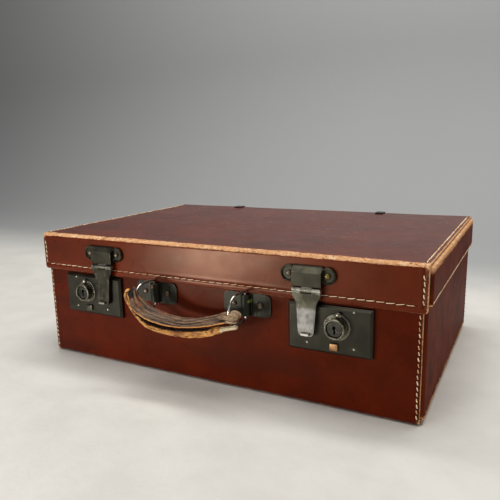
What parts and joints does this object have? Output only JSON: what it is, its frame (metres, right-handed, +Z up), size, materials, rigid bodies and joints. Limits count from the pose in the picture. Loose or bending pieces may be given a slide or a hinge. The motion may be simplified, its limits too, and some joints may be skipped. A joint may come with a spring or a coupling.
{
  "type": "suitcase",
  "caption": "Small leather suitcase with a hinged overhanging lid, sliding-nozzle hasp locks, strap hinges and a swinging handle on wire rings.",
  "frame": {"origin": "on the floor plane, under the middle of the case", "axes": "+X along the case to the right seen from the front, +Y to the back, +Z up"},
  "size_m": [0.408, 0.314, 0.1345],
  "materials": {
    "hide": "glazed red-brown hide with tan worn edges",
    "board": "raw grey-brown pulp board",
    "lining": "matt paper-backed cloth",
    "gunmetal": "dark bronzed steel, worn bright at the edges",
    "steel": "bare steel",
    "brass": "tarnished brass",
    "handle_hide": "dry, wrinkled grey-brown hide",
    "handle_roll": "golden tan rolled hide"
  },
  "bodies": {
    "base": {"base_wrap": "hide", "base_board": "board", "base_end_left": "hide", "base_end_right": "hide", "base_lining": "lining", "lock_plate_left": "gunmetal", "lock_back_left": "steel", "lock_lug_left": "brass", "bolt_spring_left": "steel", "handle_plate_left": "gunmetal", "handle_rivet_outer_left": "steel", "handle_rivet_inner_left": "steel", "handle_ring_left": "steel", "back_hinge_leaf_left": "gunmetal", "back_hinge_pin_left": "steel", "lock_plate_right": "gunmetal", "lock_back_right": "steel", "lock_lug_right": "brass", "bolt_spring_right": "steel", "handle_plate_right": "gunmetal", "handle_rivet_outer_right": "steel", "handle_rivet_inner_right": "steel", "handle_ring_right": "steel", "back_hinge_leaf_right": "gunmetal", "back_hinge_pin_right": "steel"},
    "lid": {"lid_wrap": "hide", "lid_board": "board", "lid_end_left": "hide", "lid_end_right": "hide", "lid_lining": "lining", "hasp_bracket_left": "gunmetal", "hasp_pin_left": "steel", "hasp_rivet_outer_left": "brass", "hasp_rivet_inner_left": "brass", "back_hinge_strap_left": "gunmetal", "hasp_bracket_right": "gunmetal", "hasp_pin_right": "steel", "hasp_rivet_outer_right": "brass", "hasp_rivet_inner_right": "brass", "back_hinge_strap_right": "gunmetal"},
    "hasp_left": {"hasp_lever_left": "gunmetal"},
    "nozzle_left": {"lock_nozzle_left": "gunmetal", "lock_bolt_left": "steel", "lock_stud_left": "steel"},
    "key_left": {"key_plug_left": "gunmetal"},
    "hasp_right": {"hasp_lever_right": "gunmetal"},
    "nozzle_right": {"lock_nozzle_right": "gunmetal", "lock_bolt_right": "steel", "lock_stud_right": "steel"},
    "key_right": {"key_plug_right": "gunmetal"},
    "handle": {"handle_cover": "handle_hide", "handle_roll": "handle_roll"}
  },
  "joints": [
    {"name": "lid_hinge", "type": "hinge", "parent": "base", "child": "lid", "pos_m": [0, 0.139, 0.0925], "axis": [-1, 0, 0], "range_deg": [0, 105]},
    {"name": "hasp_hinge_left", "type": "hinge", "parent": "lid", "child": "hasp_left", "pos_m": [-0.1157, -0.1406, 0.1039], "axis": [-1, 0, 0], "range_deg": [0, 110]},
    {"name": "hasp_hinge_right", "type": "hinge", "parent": "lid", "child": "hasp_right", "pos_m": [0.1053, -0.1406, 0.1039], "axis": [-1, 0, 0], "range_deg": [0, 110]},
    {"name": "nozzle_slide_left", "type": "slide", "parent": "base", "child": "nozzle_left", "axis": [-1, 0, 0], "range_m": [0, 0.003], "stiffness_N_per_m": 400, "springref_m": -0.004, "deforming": ["bolt_spring_left"]},
    {"name": "nozzle_slide_right", "type": "slide", "parent": "base", "child": "nozzle_right", "axis": [1, 0, 0], "range_m": [0, 0.003], "stiffness_N_per_m": 400, "springref_m": -0.004, "deforming": ["bolt_spring_right"]},
    {"name": "key_turn_left", "type": "hinge", "parent": "nozzle_left", "child": "key_left", "pos_m": [-0.1413, -0.145, 0.0749], "axis": [0, 1, 0], "range_deg": [0, 90]},
    {"name": "key_turn_right", "type": "hinge", "parent": "nozzle_right", "child": "key_right", "pos_m": [0.1309, -0.145, 0.0749], "axis": [0, 1, 0], "range_deg": [0, 90]},
    {"name": "handle_swing", "type": "hinge", "parent": "base", "child": "handle", "pos_m": [-0.0036, -0.1539, 0.083], "axis": [-1, 0, 0], "range_deg": [0, 75]}
  ]
}
